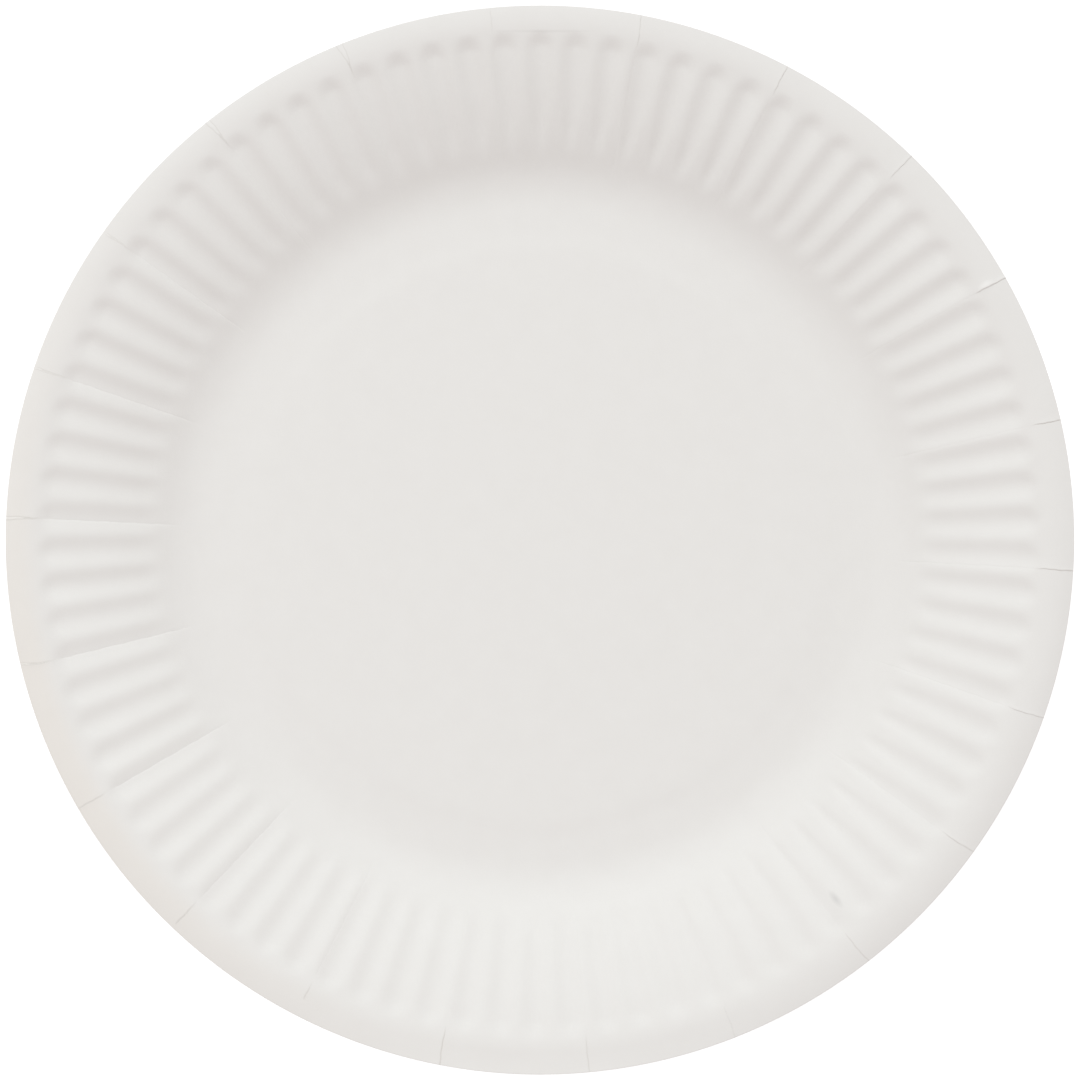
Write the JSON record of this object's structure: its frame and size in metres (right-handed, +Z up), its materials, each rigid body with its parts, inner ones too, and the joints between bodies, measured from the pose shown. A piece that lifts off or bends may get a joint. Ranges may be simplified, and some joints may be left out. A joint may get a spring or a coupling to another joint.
{
  "type": "paper plate",
  "caption": "Round shallow plate pressed from one sheet of white paperboard, with a flat floor, a fluted wall and a smooth rim, for serving food.",
  "frame": {"origin": "under the centre of the disc's outline, on the plane that the foot ring stands on", "axes": "+Z up, out of the open side of the plate; X and Y level"},
  "size_m": [0.23, 0.23, 0.016],
  "materials": {
    "paperboard": "matt white uncoated board, faintly mottled"
  },
  "bodies": {
    "root": {"plate": "paperboard"}
  },
  "joints": []
}
